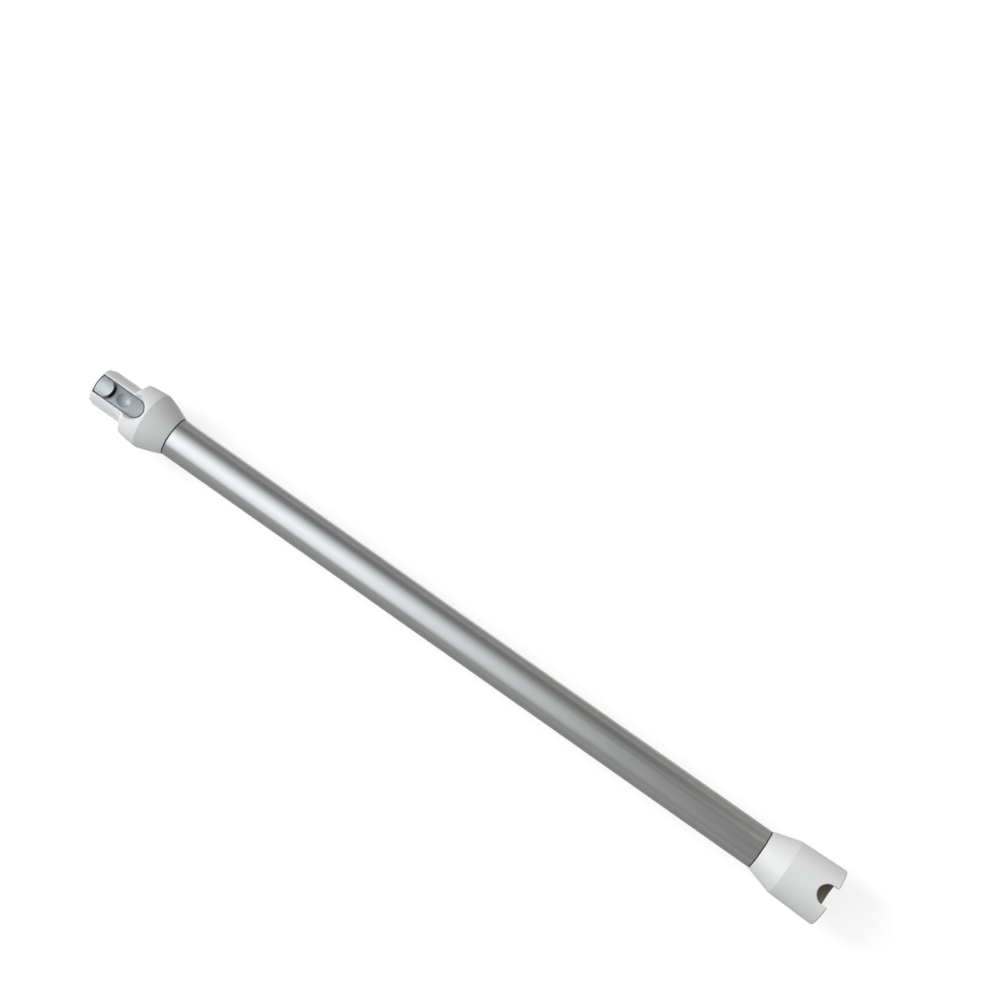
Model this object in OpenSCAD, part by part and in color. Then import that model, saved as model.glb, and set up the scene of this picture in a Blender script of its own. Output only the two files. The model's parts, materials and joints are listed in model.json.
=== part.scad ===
// Vacuum extension wand, lying on its collar and its cuff with the button up.
// The X axis runs from the neck's tip to the cuff's mouth and Z points up.
// Neck pieces are placed by their distance from the tip, and cuff pieces by their depth from the mouth.

/* [Tube] */
// Whole length, from the neck's tip to the cuff's mouth
wand_l = 740; // [600:5:900]
// Outside diameter of the tube
tube_d = 35; // [34:0.5:38]
// Wall of the tube
tube_wall = 1; // [0.8:0.1:1.3]
// Thickness of the web that closes the wire channel inside the tube
web_t = 0.9; // [0.7:0.1:1.2]

/* [Neck] */
// Diameter of the neck that goes into a socket
neck_d = 32.4; // [32:0.1:33.2]
// Length of the neck, from its tip to the foot of the shoulder
neck_l = 33; // [32:0.5:36]
// Wall between the neck's outside and its airway
neck_wall = 3.4; // [3:0.1:3.8]
// Length of the slimmer nose in front of the side keys
nose_l = 4.5; // [3.5:0.1:5.5]
// Radial step from the nose up to the neck
nose_step = 0.3; // [0.2:0.05:0.5]
// Rounding of the tip's edge
nose_round = 3; // [1:0.1:3.2]
// Distance that a side key stands out of the neck
key_h = 0.9; // [0.6:0.1:1.2]
// Width of a side key
key_w = 9; // [7:0.1:10]
// Width of the raised crown along a side key
key_crown_w = 4.6; // [3:0.1:6]
// Height of that crown
key_crown_h = 0.4; // [0.2:0.1:0.5]

/* [Collar] */
// Length of the steep shoulder behind the neck
shoulder_l = 4.5; // [3.5:0.1:6]
// Diameter at the top of the shoulder
collar_front_d = 47.4; // [46:0.2:49]
// Diameter at the crease, which the wand rests on
collar_d = 51.6; // [50.4:0.2:52]
// Length of the collar from the shoulder to the crease
collar_front_l = 18.5; // [18:0.1:20]
// Length of the collar from the crease to the tube
collar_rear_l = 23; // [20:0.2:26]
// Bulge of both collar flanks
collar_bulge = 0.4; // [0:0.1:0.8]
// Tilt of the front flank, which brings the crease nearer to the tip on the button's side
crease_tilt = 2.6; // [1:0.2:3]
// Wall of the mouldings
shell_wall = 2; // [1.6:0.1:2.4]
// Step from the tube up to the mouldings beside it
lip_h = 0.4; // [0:0.1:0.8]

/* [Release lever] */
// Width of the lever
lever_w = 15.5; // [15:0.1:16.4]
// Distance from the neck's tip to the lever's front edge
lever_front = 1.7; // [1.4:0.1:2]
// Length of the lever
lever_l = 45.7; // [45:0.1:46.6]
// Thickness of the lever's plate on its centre line
lever_t = 2.8; // [2.6:0.1:3.2]
// Radius of the crown across the lever
lever_crown_r = 30; // [28:1:40]
// Radius of the bow of the lever's front edge, seen from above
lever_bow_r = 30; // [24:1:60]
// Gap round the lever
lever_gap = 1; // [0.5:0.1:1.2]
// Depth of the lever's top below the neck's top line
lever_sink = 3; // [2.8:0.1:3.4]
// Width of the flat rim on each side of the lever's pocket
rim_w = 1.4; // [0.8:0.1:1.8]
// Angle that the lever tips when it is pressed
press_angle = 4; // [3.6:0.1:4.2]
// Radius of the catch's locking face, seen from above
catch_bow_r = 8.4; // [8.3:0.1:9]
// Diameter of the raised disc on the catch
catch_disc_d = 13; // [12:0.1:13.6]
// Height of that disc over the slope round it
catch_step = 0.7; // [0.4:0.1:0.9]
// Distance from the neck's tip to the catch's locking face
catch_back = 17.3; // [16.6:0.1:17.6]
// Distance that the catch stands out of the neck at its locking face
catch_rise = 1.8; // [1.5:0.1:2]
// Slope of the catch's ramp
ramp_angle = 14; // [12:0.5:16]
// Width of the crescent recess behind the catch
crescent_w = 1.7; // [0.8:0.1:1.9]
// Diameter of the thumb dish
dish_d = 13.2; // [12:0.1:13.4]
// Depth of the thumb dish
dish_depth = 2; // [1.5:0.1:2.3]
// Distance from the neck's tip to the dish's centre
dish_at = 28.5; // [27.6:0.1:29]
// Diameter of the pivot pin
pivot_d = 2.5; // [2:0.1:2.6]
// Distance from the lever's rear end to the pivot
pivot_back = 6.5; // [6:0.1:8]
// Depth of the pin's end in each side wall
pivot_grip = 2.4; // [2:0.1:3]
// Slope of the scoop's wall, as the run over the rise
scoop_flare = 0.32; // [0.24:0.01:0.34]

/* [Lever spring] */
// Mean diameter of the coil
coil_d = 4.6; // [4:0.1:5]
// Diameter of the spring wire
coil_wire = 0.6; // [0.5:0.05:0.7]
// Number of turns
coil_turns = 4; // [3:0.5:5]

/* [Cuff] */
// Diameter at the mouth, which the wand rests on
mouth_d = 52.4; // [51.6:0.2:54]
// Diameter at the cuff's crease
cuff_crease_d = 49.8; // [48.6:0.2:51]
// Length of the cuff's straight part, from the mouth to the crease
cuff_l = 43.5; // [42:0.5:48]
// Length of the cuff's cone, from the crease to the tube
cuff_cone_l = 24.8; // [23:0.2:28]
// Width of the notch in the mouth
notch_w = 18; // [16:0.5:19]
// Depth of the notch
notch_l = 14.2; // [12:0.1:14.4]
// Bevel round the notch
notch_bevel = 1.1; // [0.6:0.1:1.4]
// Wall of the dark liner
liner_wall = 1.8; // [1.6:0.1:2]
// Thickness of the liner's flanges
flange_t = 3; // [2:0.1:4]
// Thickness of the gasket at the socket's end
gasket_t = 1.5; // [1:0.1:2]
// Thickness of the wall behind the gasket
end_wall = 2; // [1.6:0.1:2.6]

/* [Contacts and wires] */
// Distance between the two contacts
contact_pitch = 9; // [8.4:0.1:9.4]
// Outside diameter of a contact
contact_d = 3; // [2.8:0.1:3.2]
// Diameter of a contact pin
contact_pin_d = 2; // [1.6:0.1:2]
// Length of a contact pin in front of the wall behind the gasket
pin_l = 5.7; // [5:0.1:5.8]
// Length of a spring contact
contact_l = 12; // [11:0.5:14]
// Length of the blocks that hold the contacts
carrier_l = 14; // [13:0.5:18]
// Diameter of an insulated wire
wire_d = 1.8; // [1.4:0.1:2]

/* [Joints with the tube] */
// Length of the spigots inside the tube
spigot_l = 26; // [22:1:34]
// Wall of the spigots
spigot_wall = 2.4; // [2.2:0.1:2.8]
// Thickness of the black ring between a fitting and the tube
ring_t = 1.2; // [0.5:0.1:1.6]
// Diameter of the lock stud
stud_d = 4.8; // [4:0.1:5.4]
// Thickness of the lock clip's leaf
leaf_t = 0.4; // [0.3:0.05:0.5]
// Length of that leaf
leaf_l = 16; // [14:0.5:18]
// Width of that leaf
leaf_w = 7; // [6:0.1:8]

/* [Clearances] */
// Radial clearance between a neck and the socket that takes it
socket_fit = 0.25; // [0.2:0.05:0.4]
// Radial clearance between a spigot and the tube
spigot_fit = 0.15; // [0.1:0.05:0.25]
// Radial clearance of the pivot pin in the lever
pivot_fit = 0.05; // [0.03:0.01:0.08]
// Gap between pieces that are pushed together
seat_fit = 0.1; // [0.05:0.05:0.2]
// Room that the lever keeps over the pocket's floor when it is pressed
press_room = 0.4; // [0.3:0.05:0.5]

/* [Hidden] */
$fn = 96;

// Small length by which a cut runs past the face that it opens
past = 1;
// Chamfer on the outer edge of the mouth
edge = 0.8;
// Walls round airway, contacts and lever pocket
thin_wall = 0.8;
floor_wall = 1.3;
boss_wall = 1.1;
roof_wall = 1.3;
contact_wall = 0.4;
block_side = 1.6;
block_wall = 2;
// Length by which the rim runs into the shoulder
rim_run = 0.6;
// Room round the pieces that move, bend or lie loose
spring_room = 0.4;
leaf_room = 0.3;
wire_room = 0.25;
catch_room = 0.6;
post_room = 0.3;
// Length by which the locking face cuts into the catch's disc
disc_cut = 0.5;
// Height over the neck's surface at which the scoop starts to flare
scoop_lift = 0.1;

// Radii
tube_r = tube_d / 2;
tube_bore_r = tube_r - tube_wall;
ring_r = tube_r - 0.2;
neck_r = neck_d / 2;
nose_r = neck_r - nose_step;
airway_r = neck_r - neck_wall;
key_r = neck_r + key_h;
collar_r = collar_d / 2;
collar_front_r = collar_front_d / 2;
mouth_r = mouth_d / 2;
cuff_crease_r = cuff_crease_d / 2;
rest_r = max(mouth_r, collar_r);
lip_r = tube_r + lip_h;
spigot_r = tube_bore_r - spigot_fit;
spigot_bore_r = spigot_r - spigot_wall;
duct_seat_r = spigot_r + spigot_fit / 2;

// Distances from the neck's tip
shoulder_at = neck_l + shoulder_l;
crease_at = shoulder_at + collar_front_l;
neck_joint = crease_at + collar_rear_l;
housing_end = neck_joint - ring_t;
duct_seat_at = housing_end - 9;

// Depths from the cuff's mouth
cuff_joint = cuff_l + cuff_cone_l;
shell_end = cuff_joint - ring_t;
tube_l = wand_l - neck_joint - cuff_joint;

// Lever
lever_top = neck_r - lever_sink;
lever_under = lever_top - lever_t;
lever_end = lever_front + lever_l;
lever_round = lever_end - lever_w / 2;
pivot_at = lever_end - pivot_back;
pocket_w = lever_w + 2 * lever_gap;
pocket_end = lever_end + lever_gap;
pocket_floor = lever_under - (pivot_at - lever_front) * sin(press_angle) - press_room;
pivot_boss_r = pivot_d / 2 + boss_wall;
pivot_boss_w = lever_w - 3;
pivot_z = pocket_floor + pivot_boss_r + press_room;
airway_top = pocket_floor - floor_wall;
scoop_z = sqrt(pow(neck_r, 2) - pow(pocket_w / 2, 2)) + scoop_lift;
rim_z = sqrt(pow(neck_r, 2) - pow(pocket_w / 2 + rim_w, 2));
inner_end = pocket_end + shell_wall;
catch_at = catch_back - catch_bow_r;
catch_r = neck_r + catch_rise;
disc_at = catch_back - catch_disc_d / 2 + disc_cut;
crescent_r = catch_bow_r + crescent_w;
crescent_rib_h = 0.9;
crescent_floor = lever_under - crescent_rib_h + thin_wall;
dish_r = (pow(dish_d / 2, 2) + pow(dish_depth, 2)) / (2 * dish_depth);
dish_boss_d = dish_d + 2;
dish_boss_h = 1;

// Spring under the catch, on a post of the pocket's floor
spring_at = catch_at;
spring_top = catch_r - (catch_back - spring_at + coil_d / 2) * tan(ramp_angle) - roof_wall;
spring_h = spring_top - pocket_floor - 2 * seat_fit;
post_d = coil_d - coil_wire - 2 * post_room;
post_h = 1.1;

// Contacts, wires and the channel that they run in
block_r = neck_r - block_wall;
contact_r = contact_d / 2;
contact_pin_r = contact_pin_d / 2;
pin_body_r = contact_pin_r + 0.25;
contact_y = contact_pitch / 2;
contact_z = -sqrt(pow(block_r - contact_r - contact_wall, 2) - pow(contact_y, 2));
block_top = contact_z + contact_r + contact_wall;
block_w = contact_pitch + contact_d + 2 * block_side;
airway_low = block_top + thin_wall;
web_low = contact_z + wire_d / 2 + wire_room;
web_top = web_low + web_t;
spigot_low = web_top + spigot_fit;
block_front = 0.6;
contact_front = block_front + 0.6;
contact_back = contact_front + contact_l;
contact_floor = contact_back - 3;

// Socket
socket_r = neck_r + socket_fit;
seat_r = nose_r + socket_fit;
seat_at = neck_l - nose_l + seat_fit;
keyway_r = key_r + socket_fit;
keyway_w = key_w + 2 * socket_fit;
catch_pocket_r = catch_r + catch_room;
catch_pocket_w = lever_w + 2 * catch_room;
catch_depth = neck_l - catch_back - 2 * seat_fit;
catch_pocket_end = seat_at - 1.2;
liner_r = socket_r + liner_wall;
liner_front = 0.5;
wall_front = neck_l + gasket_t;
wall_back = wall_front + end_wall;
pin_step = wall_back + 1;
pin_end = wall_back + carrier_l;
pin_tip = wall_front - pin_l;
pin_nose = 0.8;
liner_end = pin_end + 1.5;
shell_bore_at = liner_end + 6;

// Locks between the spigots and the tube
stud_at = spigot_l * 0.55;
leaf_in = spigot_bore_r + thin_wall;

// Wires
wire_l = wand_l - contact_back - pin_end;

module lie() translate([0, 0, rest_r]) children();
module from_tip(s = 0) lie() translate([s - wand_l / 2, 0, 0]) children();
module from_mouth() lie() translate([wand_l / 2, 0, 0]) mirror([1, 0, 0]) children();
module along_x(from, to) translate([from, 0, 0]) rotate([90, 0, 90]) linear_extrude(to - from) children();
module turned(points) rotate([0, 90, 0]) rotate_extrude() polygon(points);
module rod(r, from, to) translate([from, 0, 0]) rotate([0, 90, 0]) cylinder(r = r, h = to - from);
module pair() for (side = [-1, 1]) translate([0, side * contact_y, contact_z]) children();

// Points of a gently bulged flank between two profile points
function flank(a, b, bulge, steps = 5) = [for (i = [0 : steps]) let (t = i / steps)
    [a[0] + (b[0] - a[0]) * t + bulge * 4 * t * (1 - t), a[1] + (b[1] - a[1]) * t]];

// Points of a rounded outer edge of radius r, which begins at a station
function rounded(r, from, round, steps = 5) = [for (i = [0 : steps]) let (a = 90 * i / steps)
    [r - round + round * sin(a), from + round - round * cos(a)]];

// Circle of radius r, kept between two heights
module band_2d(r, low, high) intersection() {
    circle(r);
    translate([-r, low]) square([2 * r, high - low]);
}

// Airway that is flat above and below, and opens out to the tube's round bore between two stations.
// Each pair gives the growth at the narrow front and at the wide end.
module airway(front, widen, wide, end, grow = [0, 0], low_grow = [0, 0]) {
    front_r = airway_r + grow[0];
    wide_r = spigot_bore_r + grow[1];
    front_low = airway_low - low_grow[0];
    wide_low = spigot_low + spigot_wall - low_grow[1];
    front_top = airway_top + grow[0];
    intersection() {
        turned([[0, front], [front_r, front], [front_r, widen], [wide_r, wide], [wide_r, end], [0, end]]);
        rotate([90, 0, 0]) linear_extrude(4 * tube_d, center = true)
            polygon([[front, front_low], [widen, front_low], [wide, wide_low], [end, wide_low],
                     [end, wide_r], [wide, wide_r], [widen, front_top], [front, front_top]]);
    }
}

// Tube
module tube_2d() difference() {
    circle(tube_r);
    band_2d(tube_bore_r, web_top, tube_bore_r);
    band_2d(tube_bore_r, -tube_bore_r, web_low);
}
module stud_holes(at) translate([at, 0, 0]) rotate([90, 0, 0])
    cylinder(d = stud_d + 2 * seat_fit, h = 2 * tube_d, center = true);
module tube() color("silver") from_tip(neck_joint) difference() {
    along_x(0, tube_l) tube_2d();
    stud_holes(stud_at);
    stud_holes(tube_l - stud_at);
}

// Lever outline seen from above, grown by a margin, from its bowed front edge to its round end
module lever_2d(margin) {
    intersection() {
        translate([0, -lever_w / 2 - margin]) square([lever_round, lever_w + 2 * margin]);
        translate([lever_front + lever_bow_r, 0]) circle(lever_bow_r + margin);
    }
    translate([lever_round, 0]) circle(lever_w / 2 + margin);
}

// Scoop that leads the thumb from the collar down to the lever
module scoop(grow) {
    high = collar_r + 2 * past - scoop_z;
    half = pocket_w / 2 + grow;
    translate([lever_round, 0, scoop_z])
        cylinder(r1 = half, r2 = half + scoop_flare * high, h = high);
    along_x(neck_l - past, lever_round) polygon([[-half, scoop_z], [half, scoop_z],
        [half + scoop_flare * high, scoop_z + high], [-half - scoop_flare * high, scoop_z + high]]);
}

module collar_cavity() {
    in_front = collar_front_r - shell_wall;
    turned([[0, shoulder_at + shell_wall], [in_front, shoulder_at + shell_wall],
            [collar_r - shell_wall, crease_at], [duct_seat_r, duct_seat_at],
            [duct_seat_r, housing_end + past], [0, housing_end + past]]);
}

// Point that carries on the line from a through b by a length along the wand
function beyond(a, b, run) = b + (b - a) * run / (b[1] - a[1]);

// Collar, where a tilted front flank and a round rear flank meet in the crease
module collar_outside() {
    run = 5;
    front = flank([collar_front_r, shoulder_at], [collar_r, crease_at], collar_bulge);
    rear = flank([collar_r, crease_at], [lip_r, housing_end], collar_bulge);
    foot = [neck_r, neck_l];
    rise = beyond(foot, front[0], run / 2);
    front_end = beyond(front[4], front[5], run);
    rear_start = beyond(rear[1], rear[0], -run);
    intersection() {
        translate([shoulder_at, 0, 0]) rotate([0, -crease_tilt, 0]) translate([-shoulder_at, 0, 0])
            turned(concat([[0, neck_l - run], [front[0][0], neck_l - run]], front,
                          [front_end, [front_end[0], housing_end + run], [0, housing_end + run]]));
        turned(concat([[0, neck_l], foot, rise, rear_start], rear, [[0, housing_end]]));
    }
}

module neck_outside() {
    turned(concat([[0, 0]], rounded(nose_r, 0, nose_round), [[nose_r, nose_l],
        [neck_r, nose_l + nose_step], [neck_r, neck_l + past], [0, neck_l + past]]));
    collar_outside();
    for (side = [0, 1]) mirror([0, side, 0]) side_key();
}

module side_key() {
    base_r = key_r - key_crown_h;
    key_step = 1.5;
    along_x(nose_l, neck_l + past) intersection() {
        circle(base_r);
        translate([0, -key_w / 2]) square([base_r, key_w]);
    }
    along_x(nose_l + key_step, neck_l + past) intersection() {
        circle(key_r);
        translate([0, -key_crown_w / 2]) square([key_r, key_crown_w]);
    }
}

module contact_pocket(from, to) along_x(from, to) intersection() {
    circle(block_r);
    translate([-block_w / 2, -block_r]) square([block_w, block_r + block_top]);
}

module neck_housing() color("white") from_tip() {
    difference() {
        neck_outside();
        difference() {
            collar_cavity();
            rod(neck_r, 0, inner_end);
            linear_extrude(2 * neck_r) lever_2d(lever_gap + shell_wall);
            scoop(shell_wall);
        }
        airway(-past, inner_end, inner_end + past, inner_end + past);
        translate([0, 0, pocket_floor]) linear_extrude(2 * neck_r) lever_2d(lever_gap);
        scoop(0);
        translate([-past, -neck_r, rim_z]) cube([neck_l + rim_run + past, 2 * neck_r, neck_r]);
        contact_pocket(-past, inner_end + past);
        translate([pivot_at, 0, pivot_z]) rotate([90, 0, 0])
            cylinder(d = pivot_d + 2 * pivot_fit, h = pocket_w + 2 * pivot_grip, center = true);
    }
    translate([spring_at, 0, pocket_floor - seat_fit]) cylinder(d = post_d, h = post_h + seat_fit);
}

// Duct whose narrow front stands in a moulding and whose spigot goes into the tube
module duct(front, widen, wide, joint) {
    end = joint + spigot_l;
    front_wall = seat_r - seat_fit - airway_r;
    difference() {
        airway(front, widen, wide, end, [front_wall, spigot_wall], [thin_wall - seat_fit, spigot_wall]);
        airway(front - past, widen, wide, end + past);
        clip_seats(joint + stud_at);
    }
}
module neck_duct() color("gray") from_tip()
    duct(inner_end, inner_end, duct_seat_at - 1, neck_joint);

// Pockets in a spigot for the two lock clips, one on each side of the wand
module clip_seats(at) for (side = [0, 1]) mirror([0, side, 0])
    translate([at - leaf_l / 2 - leaf_room, leaf_in - seat_fit, -leaf_w / 2 - leaf_room])
        cube([leaf_l + 2 * leaf_room, tube_r, leaf_w + 2 * leaf_room]);
module lock_clips(at) for (side = [0, 1]) mirror([0, side, 0]) translate([at, 0, 0]) intersection() {
    union() {
        translate([-leaf_l / 2, leaf_in, -leaf_w / 2]) cube([leaf_l, leaf_t, leaf_w]);
        translate([0, leaf_in, 0]) rotate([-90, 0, 0]) cylinder(d = stud_d, h = tube_d);
    }
    rod(tube_r - seat_fit, -leaf_l, leaf_l);
}
module neck_lock_clips() color("lightgray") from_tip() lock_clips(neck_joint + stud_at);
module cuff_lock_clips() color("lightgray") from_mouth() lock_clips(cuff_joint + stud_at);

// Black ring between a fitting and the tube
module joint_ring(joint) turned([[spigot_r + seat_fit, joint - ring_t], [ring_r, joint - ring_t],
                                 [ring_r, joint], [spigot_r + seat_fit, joint]]);
module neck_joint_ring() color("black") from_tip() joint_ring(neck_joint);
module cuff_joint_ring() color("black") from_mouth() joint_ring(cuff_joint);

// Release lever
module lever_plate() intersection() {
    translate([0, 0, lever_under]) linear_extrude(neck_r) lever_2d(0);
    translate([0, 0, lever_top - lever_crown_r]) rod(lever_crown_r, 0, lever_end + past);
}
// Crowned slope that rises to the locking face, where it is at the given height
module ramp(top) translate([catch_back, 0, top]) rotate([0, -ramp_angle, 0])
    translate([0, 0, -lever_crown_r]) rod(lever_crown_r, -2 * lever_w, lever_w);
// Wedge over the lever's whole width, with a raised disc that reaches the locking face
module catch() intersection() {
    translate([0, 0, lever_under]) linear_extrude(neck_r) intersection() {
        lever_2d(0);
        union() {
            translate([0, -lever_w]) square([catch_at, 2 * lever_w]);
            translate([catch_at, 0]) circle(catch_bow_r + thin_wall / 2);
        }
    }
    union() {
        ramp(catch_r - catch_step);
        intersection() {
            translate([disc_at, 0, catch_r - 3 * catch_step - catch_disc_d * tan(ramp_angle)])
                cylinder(d = catch_disc_d, h = neck_r);
            ramp(catch_r);
        }
    }
}
// Crescent behind the catch, seen from above and grown by a margin
module crescent_2d(margin) translate([catch_at, 0]) intersection() {
    difference() {
        circle(crescent_r + margin);
        circle(catch_bow_r - margin);
    }
    translate([0, -lever_w]) square(2 * lever_w);
}
module release_lever() color("lightsteelblue") from_tip() difference() {
    union() {
        lever_plate();
        catch();
        translate([0, 0, lever_under - crescent_rib_h]) linear_extrude(2 * crescent_rib_h) intersection() {
            lever_2d(0);
            crescent_2d(thin_wall);
        }
        translate([dish_at, 0, lever_under - dish_boss_h])
            cylinder(d = dish_boss_d, h = 2 * dish_boss_h);
        translate([pivot_at, 0, pivot_z]) rotate([90, 0, 0])
            cylinder(r = pivot_boss_r, h = pivot_boss_w, center = true);
    }
    translate([0, 0, crescent_floor]) linear_extrude(neck_r) crescent_2d(0);
    translate([dish_at, 0, lever_top - dish_depth + dish_r]) sphere(dish_r);
    translate([spring_at, 0, lever_under - past])
        cylinder(d = coil_d + coil_wire + 2 * spring_room, h = spring_top - lever_under + past);
    translate([pivot_at, 0, pivot_z]) rotate([90, 0, 0])
        cylinder(d = pivot_d + 2 * pivot_fit, h = lever_w, center = true);
}
module lever_pivot_pin() color("silver") from_tip() translate([pivot_at, 0, pivot_z]) rotate([90, 0, 0])
    cylinder(d = pivot_d, h = pocket_w + 2 * pivot_grip - 2 * seat_fit, center = true);

// Coil spring, a round wire swept along a helix whose ends lie flat
coil_steps = 20;
wire_sides = 8;
function coil_point(i) = let (n = coil_steps * coil_turns, t = i / n, a = 360 * coil_turns * t)
    [coil_d / 2 * cos(a), coil_d / 2 * sin(a), coil_wire / 2 + (spring_h - coil_wire) * t];
function coil_ring(i) = let (a = 360 * i / coil_steps, c = coil_point(i)) [for (k = [0 : wire_sides - 1])
    let (b = 360 * k / wire_sides) c + coil_wire / 2 * [cos(b) * cos(a), cos(b) * sin(a), sin(b)]];
module lever_spring() color("gray") from_tip() translate([spring_at, 0, pocket_floor + seat_fit]) {
    n = coil_steps * coil_turns;
    points = [for (i = [0 : n]) each coil_ring(i)];
    sides = [for (i = [0 : n - 1], k = [0 : wire_sides - 1]) let (m = (k + 1) % wire_sides,
        a = i * wire_sides) [a + k, a + wire_sides + k, a + wire_sides + m, a + m]];
    first = [for (k = [0 : wire_sides - 1]) k];
    last = [for (k = [wire_sides - 1 : -1 : 0]) n * wire_sides + k];
    polyhedron(points, concat(sides, [first], [last]));
}

// Contacts in the neck
module neck_contact_block() color("dimgray") from_tip() difference() {
    along_x(block_front, block_front + carrier_l) intersection() {
        circle(block_r - seat_fit);
        translate([-block_w / 2 + seat_fit, -block_r])
            square([block_w - 2 * seat_fit, block_r + block_top - seat_fit]);
    }
    pair() {
        turned([[0, 0], [contact_r + seat_fit, 0], [contact_pin_r + 3 * seat_fit, contact_front],
                [0, contact_front]]);
        rod(contact_r + seat_fit / 2, contact_front, carrier_l + past + block_front);
    }
}
module neck_contact() turned([[contact_pin_r + pivot_fit, contact_front], [contact_r, contact_front],
    [contact_r, contact_back], [0, contact_back], [0, contact_floor],
    [contact_pin_r + pivot_fit, contact_floor]]);
module neck_contact_left() color("gold") from_tip() translate([0, -contact_y, contact_z]) neck_contact();
module neck_contact_right() color("gold") from_tip() translate([0, contact_y, contact_z]) neck_contact();

// Notch in the mouth, as the outline seen from above
module notch_2d(margin) {
    half = notch_w / 2;
    translate([-past, -half - margin]) square([notch_l - half + past, notch_w + 2 * margin]);
    translate([notch_l - half, 0]) circle(half + margin);
}
// Flared cut that bevels the notch's edge where the moulding is highest
module notch_bevel_cut() {
    low = notch_w / 2 - thin_wall;
    high = notch_w / 2 + 2 * notch_bevel;
    from = mouth_r - notch_bevel - thin_wall;
    to = from + high - low;
    translate([notch_l - notch_w / 2, 0, from]) cylinder(r1 = low, r2 = high, h = to - from);
    along_x(-past, notch_l - notch_w / 2) polygon([[-low, from], [low, from], [high, to], [-high, to]]);
}

module cuff_shell() color("white") from_mouth() difference() {
    turned(concat([[0, 0], [mouth_r - edge, 0], [mouth_r, edge], [cuff_crease_r, cuff_l]],
                  [[lip_r, shell_end], [0, shell_end]]));
    turned([[0, -past], [mouth_r - shell_wall, -past], [mouth_r - shell_wall, 0],
            [cuff_crease_r - shell_wall, cuff_l], [duct_seat_r, shell_bore_at],
            [duct_seat_r, shell_end + past], [0, shell_end + past]]);
    linear_extrude(2 * mouth_r) notch_2d(0);
    notch_bevel_cut();
}

// Radius of the shell's inside at a depth on its straight part
function shell_in(depth) = mouth_r - shell_wall - (mouth_r - cuff_crease_r) * depth / cuff_l;

module liner_flange(from) turned([[0, from], [shell_in(from) - seat_fit, from],
    [shell_in(from + flange_t) - seat_fit, from + flange_t], [0, from + flange_t]]);

// Room for the two side keys and for the catch of a neck in the socket, grown by a wall
module keyways(from, grow) for (side = [0, 1]) mirror([0, side, 0]) along_x(from, seat_at + grow)
    intersection() {
        circle(keyway_r + grow);
        translate([0, -keyway_w / 2 - grow]) square([keyway_r + grow, keyway_w + 2 * grow]);
    }
module catch_pocket(from, to, grow) along_x(from, to) intersection() {
    circle(catch_pocket_r + grow);
    translate([-catch_pocket_w / 2 - grow, 0]) square([catch_pocket_w + 2 * grow, 2 * neck_r]);
}
// Wall of the liner round the notch, up to the moulding's inside
module notch_wall() intersection() {
    linear_extrude(2 * mouth_r) intersection() {
        notch_2d(liner_wall);
        translate([liner_front, -mouth_r]) square([notch_l + 2 * liner_wall, 2 * mouth_r]);
    }
    turned([[0, 0], [shell_in(0) - seat_fit, 0], [shell_in(cuff_l) - seat_fit, cuff_l], [0, cuff_l]]);
}

module cuff_liner() color("dimgray") from_mouth() difference() {
    union() {
        rod(liner_r, liner_front, liner_end);
        liner_flange(liner_front);
        liner_flange(neck_l);
        keyways(liner_front, liner_wall);
        catch_pocket(catch_depth - liner_wall, seat_at + liner_wall, liner_wall);
        notch_wall();
    }
    rod(socket_r, -past, seat_at);
    rod(seat_r, seat_at - past, wall_front);
    rod(seat_r, wall_back, liner_end + past);
    keyways(-past, 0);
    catch_pocket(catch_depth, catch_pocket_end, 0);
    linear_extrude(2 * mouth_r) notch_2d(0);
    airway(wall_front - past, wall_back, wall_back + past, wall_back + past);
    pair() rod(pin_body_r + seat_fit / 2, wall_front - past, wall_back + past);
}

module cuff_duct() color("gray") from_mouth()
    duct(wall_back, liner_end + 0.5, shell_bore_at - 1, cuff_joint);

module socket_gasket() color("black") from_mouth() along_x(neck_l, wall_front) difference() {
    band_2d(seat_r - seat_fit, block_top + seat_fit, airway_top + 2 * gasket_t);
    band_2d(airway_r, airway_low, airway_top);
}

// Contacts in the cuff
module cuff_contact_block() color("dimgray") from_mouth() difference() {
    along_x(wall_back, wall_back + carrier_l) intersection() {
        circle(seat_r - seat_fit);
        translate([-block_w / 2, -seat_r]) square([block_w, seat_r + block_top - seat_fit]);
    }
    pair() {
        rod(pin_body_r + seat_fit / 2, wall_back - past, pin_step);
        rod(contact_r + seat_fit / 2, pin_step, pin_end + past);
    }
}
module cuff_contact_pin() turned([[0, pin_tip], [contact_pin_r - pin_nose / 2, pin_tip],
    [contact_pin_r, pin_tip + pin_nose], [contact_pin_r, wall_front], [pin_body_r, wall_front],
    [pin_body_r, pin_step], [contact_r, pin_step], [contact_r, pin_end], [0, pin_end]]);
module cuff_contact_pin_left() color("gold") from_mouth() translate([0, -contact_y, contact_z])
    cuff_contact_pin();
module cuff_contact_pin_right() color("gold") from_mouth() translate([0, contact_y, contact_z])
    cuff_contact_pin();

// Wires that run straight from contact to contact in the tube's channel
module wire(y) from_tip() translate([0, y, contact_z]) rod(wire_d / 2, contact_back, contact_back + wire_l);
module wire_left() color("black") wire(-contact_y);
module wire_right() color("white") wire(contact_y);

tube();
neck_housing();
neck_duct();
release_lever();
lever_pivot_pin();
lever_spring();
neck_joint_ring();
neck_contact_block();
neck_contact_left();
neck_contact_right();
neck_lock_clips();
cuff_shell();
cuff_liner();
cuff_duct();
cuff_joint_ring();
socket_gasket();
cuff_contact_block();
cuff_contact_pin_left();
cuff_contact_pin_right();
cuff_lock_clips();
wire_left();
wire_right();
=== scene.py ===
import json
import math

import bpy
from mathutils import Matrix, Vector


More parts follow.
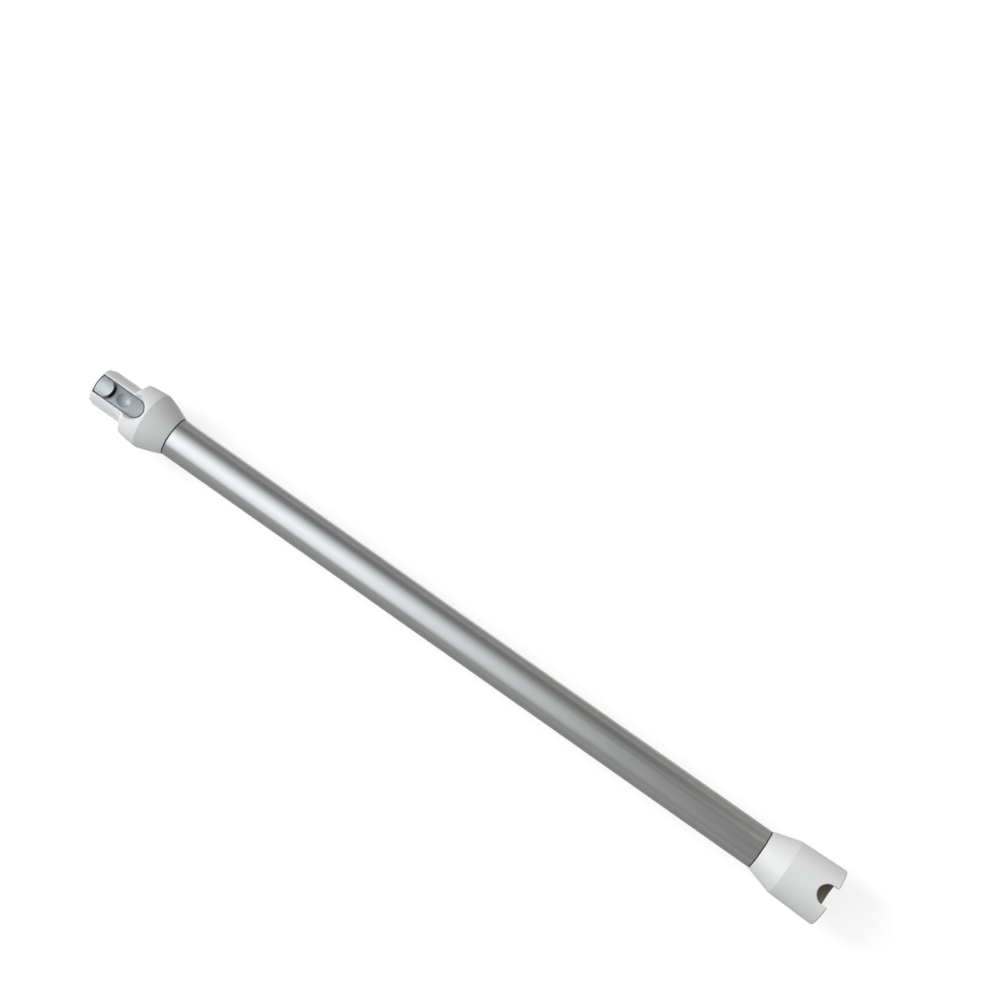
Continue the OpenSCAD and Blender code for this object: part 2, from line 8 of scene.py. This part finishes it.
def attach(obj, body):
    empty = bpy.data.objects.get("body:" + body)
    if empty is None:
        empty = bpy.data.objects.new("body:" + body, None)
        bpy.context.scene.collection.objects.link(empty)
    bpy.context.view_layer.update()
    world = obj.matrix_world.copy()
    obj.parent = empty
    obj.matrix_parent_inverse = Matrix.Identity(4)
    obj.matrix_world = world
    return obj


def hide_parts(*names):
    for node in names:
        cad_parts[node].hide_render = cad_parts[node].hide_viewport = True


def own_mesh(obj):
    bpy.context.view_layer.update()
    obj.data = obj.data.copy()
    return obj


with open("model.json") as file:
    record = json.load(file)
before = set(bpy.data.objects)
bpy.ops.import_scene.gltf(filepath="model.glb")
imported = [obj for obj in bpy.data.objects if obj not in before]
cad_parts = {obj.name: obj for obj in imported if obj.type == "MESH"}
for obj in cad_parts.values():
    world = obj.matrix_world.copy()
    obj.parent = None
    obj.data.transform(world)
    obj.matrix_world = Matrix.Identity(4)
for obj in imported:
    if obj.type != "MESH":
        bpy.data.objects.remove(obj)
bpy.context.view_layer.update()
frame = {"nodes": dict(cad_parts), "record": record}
nodes = frame["nodes"]
scene = bpy.context.scene

# Camera place and directions in millimetres, and its focal length in pixels of a 1000 pixel frame
CAMERA_AT = (138.821, -80.781, 1853.009)
CAMERA_RIGHT = (0.81732323, 0.575918, -0.01735478)
CAMERA_DOWN = (0.56827794, -0.8107202, -0.14068736)
FOCAL_PX = 2212.35
FRAME_PX = 1000.0

# Crescent recess behind the catch, in metres: its centre along the wand, its inner and outer radius,
# where it begins behind that centre, and how far to each side its painted shade stays full and then ends
CRESCENT_AT = -0.3611
CRESCENT_INNER = 0.0084
CRESCENT_OUTER = 0.0101
CRESCENT_START = 0.0015
CRESCENT_DARK = 0.004
CRESCENT_END = 0.007
# Painted shade in the crescent recess: its near black colour and its dull roughness
PAINTED_RECESS_SHADE = (0.012, 0.012, 0.013)
RECESS_GLOSS = 0.8

# Lever spring, in metres: the place and height of its foot, its mean radius, height and wire, and its
# turns and the closed ones at each end
COIL_X = -0.3611
COIL_FOOT = 0.03358
COIL_R = 0.0023
COIL_H = 0.00654
COIL_WIRE = 0.0006
COIL_TURNS = 6.0
COIL_CLOSED = 1.0

# Level of the studio's room, and how high over the horizon the pale backdrop reaches
ROOM_LIGHT = (0.30, 0.30, 0.295)
BACKDROP_TOP = 0.17

# Floor: its width and its gap under the wand in metres, its shade to matt light and to the camera,
# the light it adds for the camera near by and far off, and the distances where that begins and ends
FLOOR_SIZE = 60.0
FLOOR_GAP = 0.0004
FLOOR_SHADE = (0.48, 0.48, 0.476)
FLOOR_SEEN = (0.32, 0.32, 0.317)
FLOOR_LIFT = (0.76, 0.95)
FLOOR_REACH = (0.5, 3.0)

# Share of that added light which reflections show, and what the glowing strip beside the tube adds to it.
# The strip is no lamp: it glows in reflections only, a painted reflection that gives the tube's far edge its
# thin pale line, and is weaker toward the cuff.
MIRRORED = 0.1
STRIP_MIRRORED = 1.3
STRIP_NEAR = (0.0, 0.01)
STRIP_FAR = (0.045, 0.055)
STRIP_START = (-0.31, -0.29)
STRIP_WEAKENS = (0.05, 0.28)
STRIP_LEFT = 0.3


def place_camera():
    """Put the camera where the photograph was taken from."""
    right = Vector(CAMERA_RIGHT).normalized()
    down = Vector(CAMERA_DOWN)
    down = (down - right * down.dot(right)).normalized()
    back = right.cross(-down)
    turn = Matrix((right, -down, back)).transposed()
    data = bpy.data.cameras.new("camera")
    data.sensor_fit = "HORIZONTAL"
    data.sensor_width = 36.0
    data.lens = FOCAL_PX * data.sensor_width / FRAME_PX
    data.clip_start = 0.01
    data.clip_end = 60.0
    camera = bpy.data.objects.new("camera", data)
    camera.matrix_world = Matrix.Translation(Vector(CAMERA_AT) / 1000.0) @ turn.to_4x4()
    scene.collection.objects.link(camera)
    scene.camera = camera


class Tree:
    """Short calls that add and join the nodes of one material, group or world."""

    def __init__(self, tree):
        self.tree = tree

    def add(self, kind, settings=None, **inputs):
        node = self.tree.nodes.new("ShaderNode" + kind)
        for name, value in (settings or {}).items():
            setattr(node, name, value)
        for name, value in inputs.items():
            self.set(node, name.replace("_", " "), value)
        return node

    def set(self, node, name, value):
        socket = node.inputs[name] if isinstance(name, int) else self.find(node, name)
        if isinstance(value, bpy.types.NodeSocket):
            self.tree.links.new(value, socket)
        elif socket.type == "RGBA" and len(value) == 3:
            socket.default_value = (*value, 1.0)
        else:
            socket.default_value = value

    @staticmethod
    def find(node, name):
        for socket in node.inputs:
            if socket.name == name and socket.enabled:
                return socket
        raise KeyError(f"{node.bl_idname} has no input {name}")

    def math(self, operation, a, b=0.5):
        node = self.add("Math", {"operation": operation})
        self.set(node, 0, a)
        if len(node.inputs) > 1:
            self.set(node, 1, b)
        return node.outputs[0]

    def mix(self, factor, a, b, blend="MIX"):
        node = self.add("Mix", {"data_type": "RGBA", "blend_type": blend})
        self.set(node, "Factor", factor)
        self.set(node, "A", a)
        self.set(node, "B", b)
        return node.outputs["Result"]

    def map_range(self, value, low, high, to_low=0.0, to_high=1.0):
        node = self.add("MapRange", {"clamp": True}, Value=value,
                        From_Min=low, From_Max=high, To_Min=to_low, To_Max=to_high)
        return node.outputs["Result"]

    def place(self, scale=(1.0, 1.0, 1.0)):
        coords = self.add("TexCoord").outputs["Object"]
        return self.add("Mapping", Vector=coords, Scale=scale).outputs["Vector"]

    def noise(self, vector, scale, detail=3.0, rough=0.55):
        node = self.add("TexNoise", Vector=vector, Scale=scale, Detail=detail, Roughness=rough)
        return node.outputs["Fac"]


def shader_group(name, inputs, outputs):
    """Start a node group with named float or colour sockets."""
    tree = bpy.data.node_groups.new(name, "ShaderNodeTree")
    for socket, kind, value in inputs:
        made = tree.interface.new_socket(socket, in_out="INPUT", socket_type="NodeSocket" + kind)
        if value is not None:
            made.default_value = value
    for socket, kind in outputs:
        tree.interface.new_socket(socket, in_out="OUTPUT", socket_type="NodeSocket" + kind)
    maker = Tree(tree)
    return maker, tree.nodes.new("NodeGroupInput"), tree.nodes.new("NodeGroupOutput")


def moulding_group():
    """Colour drift, spark-eroded grain and handling wear of a plastic moulding."""
    t, given, result = shader_group(
        "moulded_surface",
        [("Color", "Color", (0.7, 0.7, 0.7, 1.0)), ("Drift", "Float", 0.03), ("Grain Scale", "Float", 2600.0),
         ("Grain Height", "Float", 0.000012), ("Gloss", "Float", 0.42), ("Gloss Drift", "Float", 0.06)],
        [("Color", "Color"), ("Roughness", "Float"), ("Height", "Float")])
    flow = t.noise(t.place((0.6, 1.0, 1.0)), 26.0, 2.0)
    cloud = t.noise(t.place(), 95.0, 4.0, 0.6)
    grain = t.noise(t.place(), given.outputs["Grain Scale"], 2.0, 0.5)
    rub = t.noise(t.place((0.25, 1.0, 1.0)), 420.0, 3.0, 0.7)
    rub_mask = t.map_range(rub, 0.62, 0.78)
    drift = t.map_range(t.math("ADD", flow, cloud), 0.7, 1.3, -1.0, 1.0)
    shade = t.math("ADD", 1.0, t.math("MULTIPLY", drift, given.outputs["Drift"]))
    level = t.add("CombineColor", Red=shade, Green=shade, Blue=shade).outputs["Color"]
    t.set(result, "Color", t.mix(1.0, given.outputs["Color"], level, "MULTIPLY"))
    polish = t.math("MULTIPLY", t.math("SUBTRACT", cloud, rub_mask), given.outputs["Gloss Drift"])
    t.set(result, "Roughness", t.math("ADD", given.outputs["Gloss"], polish))
    t.set(result, "Height", t.math("MULTIPLY", grain, given.outputs["Grain Height"]))
    return t.tree


def streak_group():
    """Fine lines left along a drawn, ground or turned metal surface."""
    t, given, result = shader_group(
        "drawn_lines",
        [("Color", "Color", (0.6, 0.6, 0.6, 1.0)), ("Drift", "Float", 0.06), ("Gloss", "Float", 0.35),
         ("Line Height", "Float", 0.000006)],
        [("Color", "Color"), ("Roughness", "Float"), ("Height", "Float")])
    fine = t.noise(t.place((9.0, 1500.0, 1500.0)), 1.0, 3.0, 0.6)
    broad = t.noise(t.place((2.0, 240.0, 240.0)), 1.0, 2.0, 0.5)
    bath = t.noise(t.place((1.0, 3.0, 3.0)), 9.0, 2.0, 0.5)
    nick = t.map_range(t.noise(t.place((0.15, 1.0, 1.0)), 900.0, 2.0, 0.8), 0.7, 0.76)
    lines = t.math("ADD", t.math("MULTIPLY", fine, 0.6), t.math("MULTIPLY", broad, 0.4))
    tone = t.map_range(t.math("ADD", t.math("MULTIPLY", lines, 0.5), t.math("MULTIPLY", bath, 0.5)),
                       0.3, 0.7, -1.0, 1.0)
    shade = t.math("ADD", 1.0, t.math("MULTIPLY", tone, given.outputs["Drift"]))
    shade = t.math("SUBTRACT", shade, t.math("MULTIPLY", nick, given.outputs["Drift"]))
    level = t.add("CombineColor", Red=shade, Green=shade, Blue=shade).outputs["Color"]
    t.set(result, "Color", t.mix(1.0, given.outputs["Color"], level, "MULTIPLY"))
    sway = t.math("MULTIPLY", t.math("SUBTRACT", lines, 0.5), 0.3)
    t.set(result, "Roughness", t.math("ADD", given.outputs["Gloss"], sway))
    t.set(result, "Height", t.math("MULTIPLY", lines, given.outputs["Line Height"]))
    return t.tree


def soft_edge(t, radius):
    """Normal that rounds a sharp edge over the given radius."""
    return t.add("Bevel", {"samples": 6}, Radius=radius).outputs["Normal"]


def crescent_group():
    """Mask of the painted shade in the crescent recess behind the lever's catch, 1 on its walls and its
    floor.

    The margin takes in the walls themselves, and the fade softens the mask's rim.
    """
    t, given, result = shader_group("crescent_painted_shade", [], [("Mask", "Float")])
    margin, fade = 0.00002, 0.00004
    away = t.add("VectorMath", {"operation": "SUBTRACT"})
    t.set(away, 0, t.add("TexCoord").outputs["Object"])
    t.set(away, 1, (CRESCENT_AT, 0.0, 0.0))
    apart = t.add("SeparateXYZ", Vector=away.outputs["Vector"]).outputs
    flat = t.add("CombineXYZ", X=apart["X"], Y=apart["Y"], Z=0.0).outputs["Vector"]
    reach = t.add("VectorMath", {"operation": "LENGTH"}, Vector=flat).outputs["Value"]
    past_catch = t.map_range(reach, CRESCENT_INNER - margin - fade, CRESCENT_INNER - margin)
    before_plate = t.map_range(reach, CRESCENT_OUTER + margin, CRESCENT_OUTER + margin + fade, 1.0, 0.0)
    behind = t.math("GREATER_THAN", apart["X"], CRESCENT_START)
    horn = t.map_range(t.math("ABSOLUTE", apart["Y"]), CRESCENT_DARK, CRESCENT_END, 1.0, 0.0)
    ring = t.math("MULTIPLY", past_catch, before_plate)
    t.set(result, "Mask", t.math("MULTIPLY", ring, t.math("MULTIPLY", behind, horn)))
    return t.tree


def finish(name, surface, colour, metallic=0.0, edge=0.0, bump=1.0, shader=None, recess=None, **values):
    """Material that takes colour, roughness and relief from one of the shared surface groups.

    A recess is a mask group, and what it covers is painted dark and dull, a painted shade.
    """
    material = bpy.data.materials.new(name)
    material.use_nodes = True
    t = Tree(material.node_tree)
    principled = material.node_tree.nodes["Principled BSDF"]
    group = t.add("Group", {"node_tree": surface}, Color=colour, **values)
    colour_out, gloss_out = group.outputs["Color"], group.outputs["Roughness"]
    if recess:
        mask = t.add("Group", {"node_tree": recess}).outputs["Mask"]
        colour_out = t.mix(mask, colour_out, PAINTED_RECESS_SHADE)
        gloss_out = t.math("MAXIMUM", gloss_out, t.math("MULTIPLY", mask, RECESS_GLOSS))
        metallic = t.math("MULTIPLY", t.math("SUBTRACT", 1.0, mask), metallic)
    t.set(principled, "Base Color", colour_out)
    t.set(principled, "Roughness", gloss_out)
    t.set(principled, "Metallic", metallic)
    relief = t.add("Bump", Strength=bump, Distance=1.0, Height=group.outputs["Height"])
    if edge:
        t.set(relief, "Normal", soft_edge(t, edge))
    t.set(principled, "Normal", relief.outputs["Normal"])
    for socket, value in (shader or {}).items():
        t.set(principled, socket, value)
    return material


def make_finishes():
    moulded = moulding_group()
    drawn = streak_group()
    made = {}
    made["anodised_tube"] = finish(
        "anodised_tube", drawn, (0.42, 0.418, 0.41), metallic=1.0, Drift=0.05, Gloss=0.34,
        Line_Height=0.000003, shader={"Anisotropic": 0.0})
    made["white_moulding"] = finish(
        "white_moulding", moulded, (0.76, 0.762, 0.766), edge=0.0007, Drift=0.012, Gloss=0.36,
        Gloss_Drift=0.08, Grain_Height=0.000006)
    # The lever's crescent recess behind the catch is painted near black, a painted shade.
    made["lever_moulding"] = finish(
        "lever_moulding", moulded, (0.27, 0.29, 0.305), metallic=0.25, edge=0.0004, recess=crescent_group(),
        Drift=0.03, Gloss=0.42, Grain_Height=0.000004)
    made["dark_moulding"] = finish(
        "dark_moulding", moulded, (0.265, 0.245, 0.195), edge=0.0003, Drift=0.12, Gloss=0.5)
    made["duct_moulding"] = finish(
        "duct_moulding", moulded, (0.28, 0.28, 0.29), edge=0.0003, Drift=0.06, Gloss=0.5)
    made["black_rubber"] = finish(
        "black_rubber", moulded, (0.03, 0.031, 0.033), Drift=0.2, Gloss=0.6, Grain_Height=0.00002)
    made["blackened_steel"] = finish(
        "blackened_steel", drawn, (0.10, 0.10, 0.105), metallic=1.0, Drift=0.1, Gloss=0.5)
    made["spring_steel"] = finish(
        "spring_steel", drawn, (0.5, 0.5, 0.51), metallic=1.0, Drift=0.08, Gloss=0.32)
    made["contact_brass"] = finish(
        "contact_brass", drawn, (0.78, 0.6, 0.28), metallic=1.0, Drift=0.06, Gloss=0.25)
    made["black_insulation"] = finish(
        "black_insulation", moulded, (0.03, 0.03, 0.032), Drift=0.1, Gloss=0.4, Grain_Scale=900.0)
    made["white_insulation"] = finish(
        "white_insulation", moulded, (0.72, 0.72, 0.69), Drift=0.05, Gloss=0.4, Grain_Scale=900.0)
    return made


def dress_nodes(finishes):
    """Give each CAD node the finish of its slot in the record."""
    slots = {part["node"]: part["material_slot"] for part in frame["record"]["subparts"]}
    for name, node in nodes.items():
        material = finishes[slots[name]]
        if node.data.materials:
            for index in range(len(node.data.materials)):
                node.data.materials[index] = material
        else:
            node.data.materials.append(material)


def studio_world():
    """Pale backdrop near the horizon, and a dimmer room above it that only surfaces see."""
    world = bpy.data.worlds.new("studio")
    scene.world = world
    world.use_nodes = True
    t = Tree(world.node_tree)
    background = world.node_tree.nodes["Background"]
    rays = t.add("LightPath").outputs
    height = t.add("SeparateXYZ", Vector=t.add("TexCoord").outputs["Generated"]).outputs["Z"]
    low = t.map_range(height, BACKDROP_TOP * 0.5, BACKDROP_TOP, 1.0, 0.0)
    mirrored = t.math("MAXIMUM", rays["Is Glossy Ray"], rays["Is Transmission Ray"])
    seen = t.math("MAXIMUM", rays["Is Camera Ray"], t.math("MULTIPLY", mirrored, low))
    t.set(background, "Color", t.mix(seen, ROOM_LIGHT, (1.0, 1.0, 1.0)))


def soft_box(name, at, aim, size, radiance, colour, matt=True, gloss=True, fade=()):
    """Square or oblong lamp whose face has the given brightness, for matt light, gloss or both.

    Each fade holds an axis, the place along it where the face is dark and where it is fully bright.
    """
    lamp = bpy.data.lights.new(name, "AREA")
    lamp.shape = "RECTANGLE"
    lamp.size, lamp.size_y = size
    lamp.energy = radiance * math.pi * size[0] * size[1]
    lamp.color = colour
    box = bpy.data.objects.new(name, lamp)
    facing = (Vector(aim) - Vector(at)).to_track_quat("-Z", "Y")
    box.matrix_world = Matrix.Translation(at) @ facing.to_matrix().to_4x4()
    box.visible_diffuse = matt
    box.visible_glossy = gloss
    if fade:
        lamp.use_nodes = True
        t = Tree(lamp.node_tree)
        place = t.add("SeparateXYZ", Vector=t.add("NewGeometry").outputs["Position"]).outputs
        level = 1.0
        for axis, dark, bright in fade:
            level = t.math("MULTIPLY", level, t.map_range(place[axis], dark, bright))
        t.set(lamp.node_tree.nodes["Emission"], "Strength", level)
    scene.collection.objects.link(box)


def studio_lights():
    cool = (0.90, 0.955, 1.0)
    plain = (1.0, 1.0, 1.0)
    soft_box("overhead_box", (-0.75, -1.25, 1.4), (-0.30, 0.0, 0.0), (1.0, 1.0), 2.65, cool, gloss=False)
    soft_box("sheen_box", (-0.55, -1.40, 1.5), (-0.55, -1.40, 0.0), (2.0, 6.0), 2.15, cool, matt=False,
             fade=(("X", 0.11, -0.18), ("Y", 1.6, -0.2), ("Y", -4.4, -1.6)))
    soft_box("key_box", (-6.0, -0.3, 4.5), (0.0, 0.0, 0.0), (3.2, 3.2), 12.9, plain)
    soft_box("cuff_box", (0.55, 0.36, 0.35), (0.33, 0.0, 0.03), (0.25, 0.25), 3.0, plain)


def pale_floor():
    """Plain pale floor that keeps the wand's shadow and is white to the camera, with a strip beside the tube
    that glows in reflections only, a painted reflection.
    """
    bpy.ops.mesh.primitive_plane_add(size=FLOOR_SIZE, location=(0.0, 0.0, -FLOOR_GAP))
    floor = bpy.context.active_object
    floor.name = "floor"
    material = bpy.data.materials.new("pale_floor")
    material.use_nodes = True
    t = Tree(material.node_tree)
    principled = material.node_tree.nodes["Principled BSDF"]
    rays = t.add("LightPath").outputs
    t.set(principled, "Base Color", t.mix(rays["Is Camera Ray"], FLOOR_SHADE, FLOOR_SEEN))
    t.set(principled, "Roughness", 0.9)
    t.set(principled, "Specular IOR Level", 0.1)
    mirrored = t.math("MAXIMUM", rays["Is Glossy Ray"], rays["Is Transmission Ray"])
    place = t.add("SeparateXYZ", Vector=t.add("TexCoord").outputs["Object"]).outputs
    # Glowing strip beside the tube, seen only in reflections: a painted reflection on the tube's far edge.
    across = t.math("MULTIPLY", t.map_range(place["Y"], *STRIP_NEAR),
                    t.map_range(place["Y"], *STRIP_FAR, 1.0, 0.0))
    along = t.math("MULTIPLY", t.map_range(place["X"], *STRIP_START),
                   t.map_range(place["X"], *STRIP_WEAKENS, 1.0, STRIP_LEFT))
    strip = t.math("MULTIPLY", t.math("MULTIPLY", across, along), STRIP_MIRRORED)
    glow = t.math("ADD", MIRRORED, strip)
    lift = t.math("MAXIMUM", rays["Is Camera Ray"], t.math("MULTIPLY", mirrored, glow))
    t.set(principled, "Emission Color", (1.0, 1.0, 1.0))
    reach = t.add("VectorMath", {"operation": "LENGTH"}, Vector=t.add("TexCoord").outputs["Object"])
    level = t.map_range(reach.outputs["Value"], *FLOOR_REACH, *FLOOR_LIFT)
    t.set(principled, "Emission Strength", t.math("MULTIPLY", lift, level))
    floor.data.materials.append(material)


def coil_lift(turn):
    """Height of the wire's middle over the coil's foot, where the end turns lie closed."""
    pitch = (COIL_H - COIL_WIRE * (1.0 + 2.0 * COIL_CLOSED)) / (COIL_TURNS - 2.0 * COIL_CLOSED)
    low = min(turn, COIL_CLOSED)
    high = max(turn - (COIL_TURNS - COIL_CLOSED), 0.0)
    return COIL_WIRE * (0.5 + low + high) + pitch * (turn - low - high)


def wire_ring(turn, sides):
    """Points round the wire at one place along the coil."""
    out = Vector((math.cos(math.tau * turn), math.sin(math.tau * turn), 0.0))
    up = Vector((0.0, 0.0, 1.0))
    centre = Vector((COIL_X, 0.0, COIL_FOOT + coil_lift(turn))) + out * COIL_R
    angles = [math.tau * side / sides for side in range(sides)]
    return [centre + (out * math.cos(angle) + up * math.sin(angle)) * COIL_WIRE * 0.5 for angle in angles]


def coil_spring(finishes):
    """Compression spring under the lever's catch."""
    per_turn, sides = 40, 12
    rings = int(COIL_TURNS * per_turn) + 1
    points = [point for ring in range(rings) for point in wire_ring(ring / per_turn, sides)]
    faces = [tuple(range(sides))[::-1], tuple(range(len(points) - sides, len(points)))]
    for ring in range(rings - 1):
        here, there = ring * sides, (ring + 1) * sides
        for side in range(sides):
            beside = (side + 1) % sides
            faces.append((here + side, here + beside, there + beside, there + side))
    mesh = bpy.data.meshes.new("lever_coil")
    mesh.from_pydata(points, [], faces)
    mesh.update()
    for polygon in mesh.polygons:
        polygon.use_smooth = len(polygon.vertices) == 4
    mesh.materials.append(finishes["spring_steel"])
    coil = bpy.data.objects.new("lever_coil", mesh)
    scene.collection.objects.link(coil)
    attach(coil, "wand")
    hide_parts("lever_spring")
    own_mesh(coil)


place_camera()
finishes = make_finishes()
dress_nodes(finishes)
coil_spring(finishes)
scene.view_settings.view_transform = "Standard"
studio_world()
studio_lights()
pale_floor()
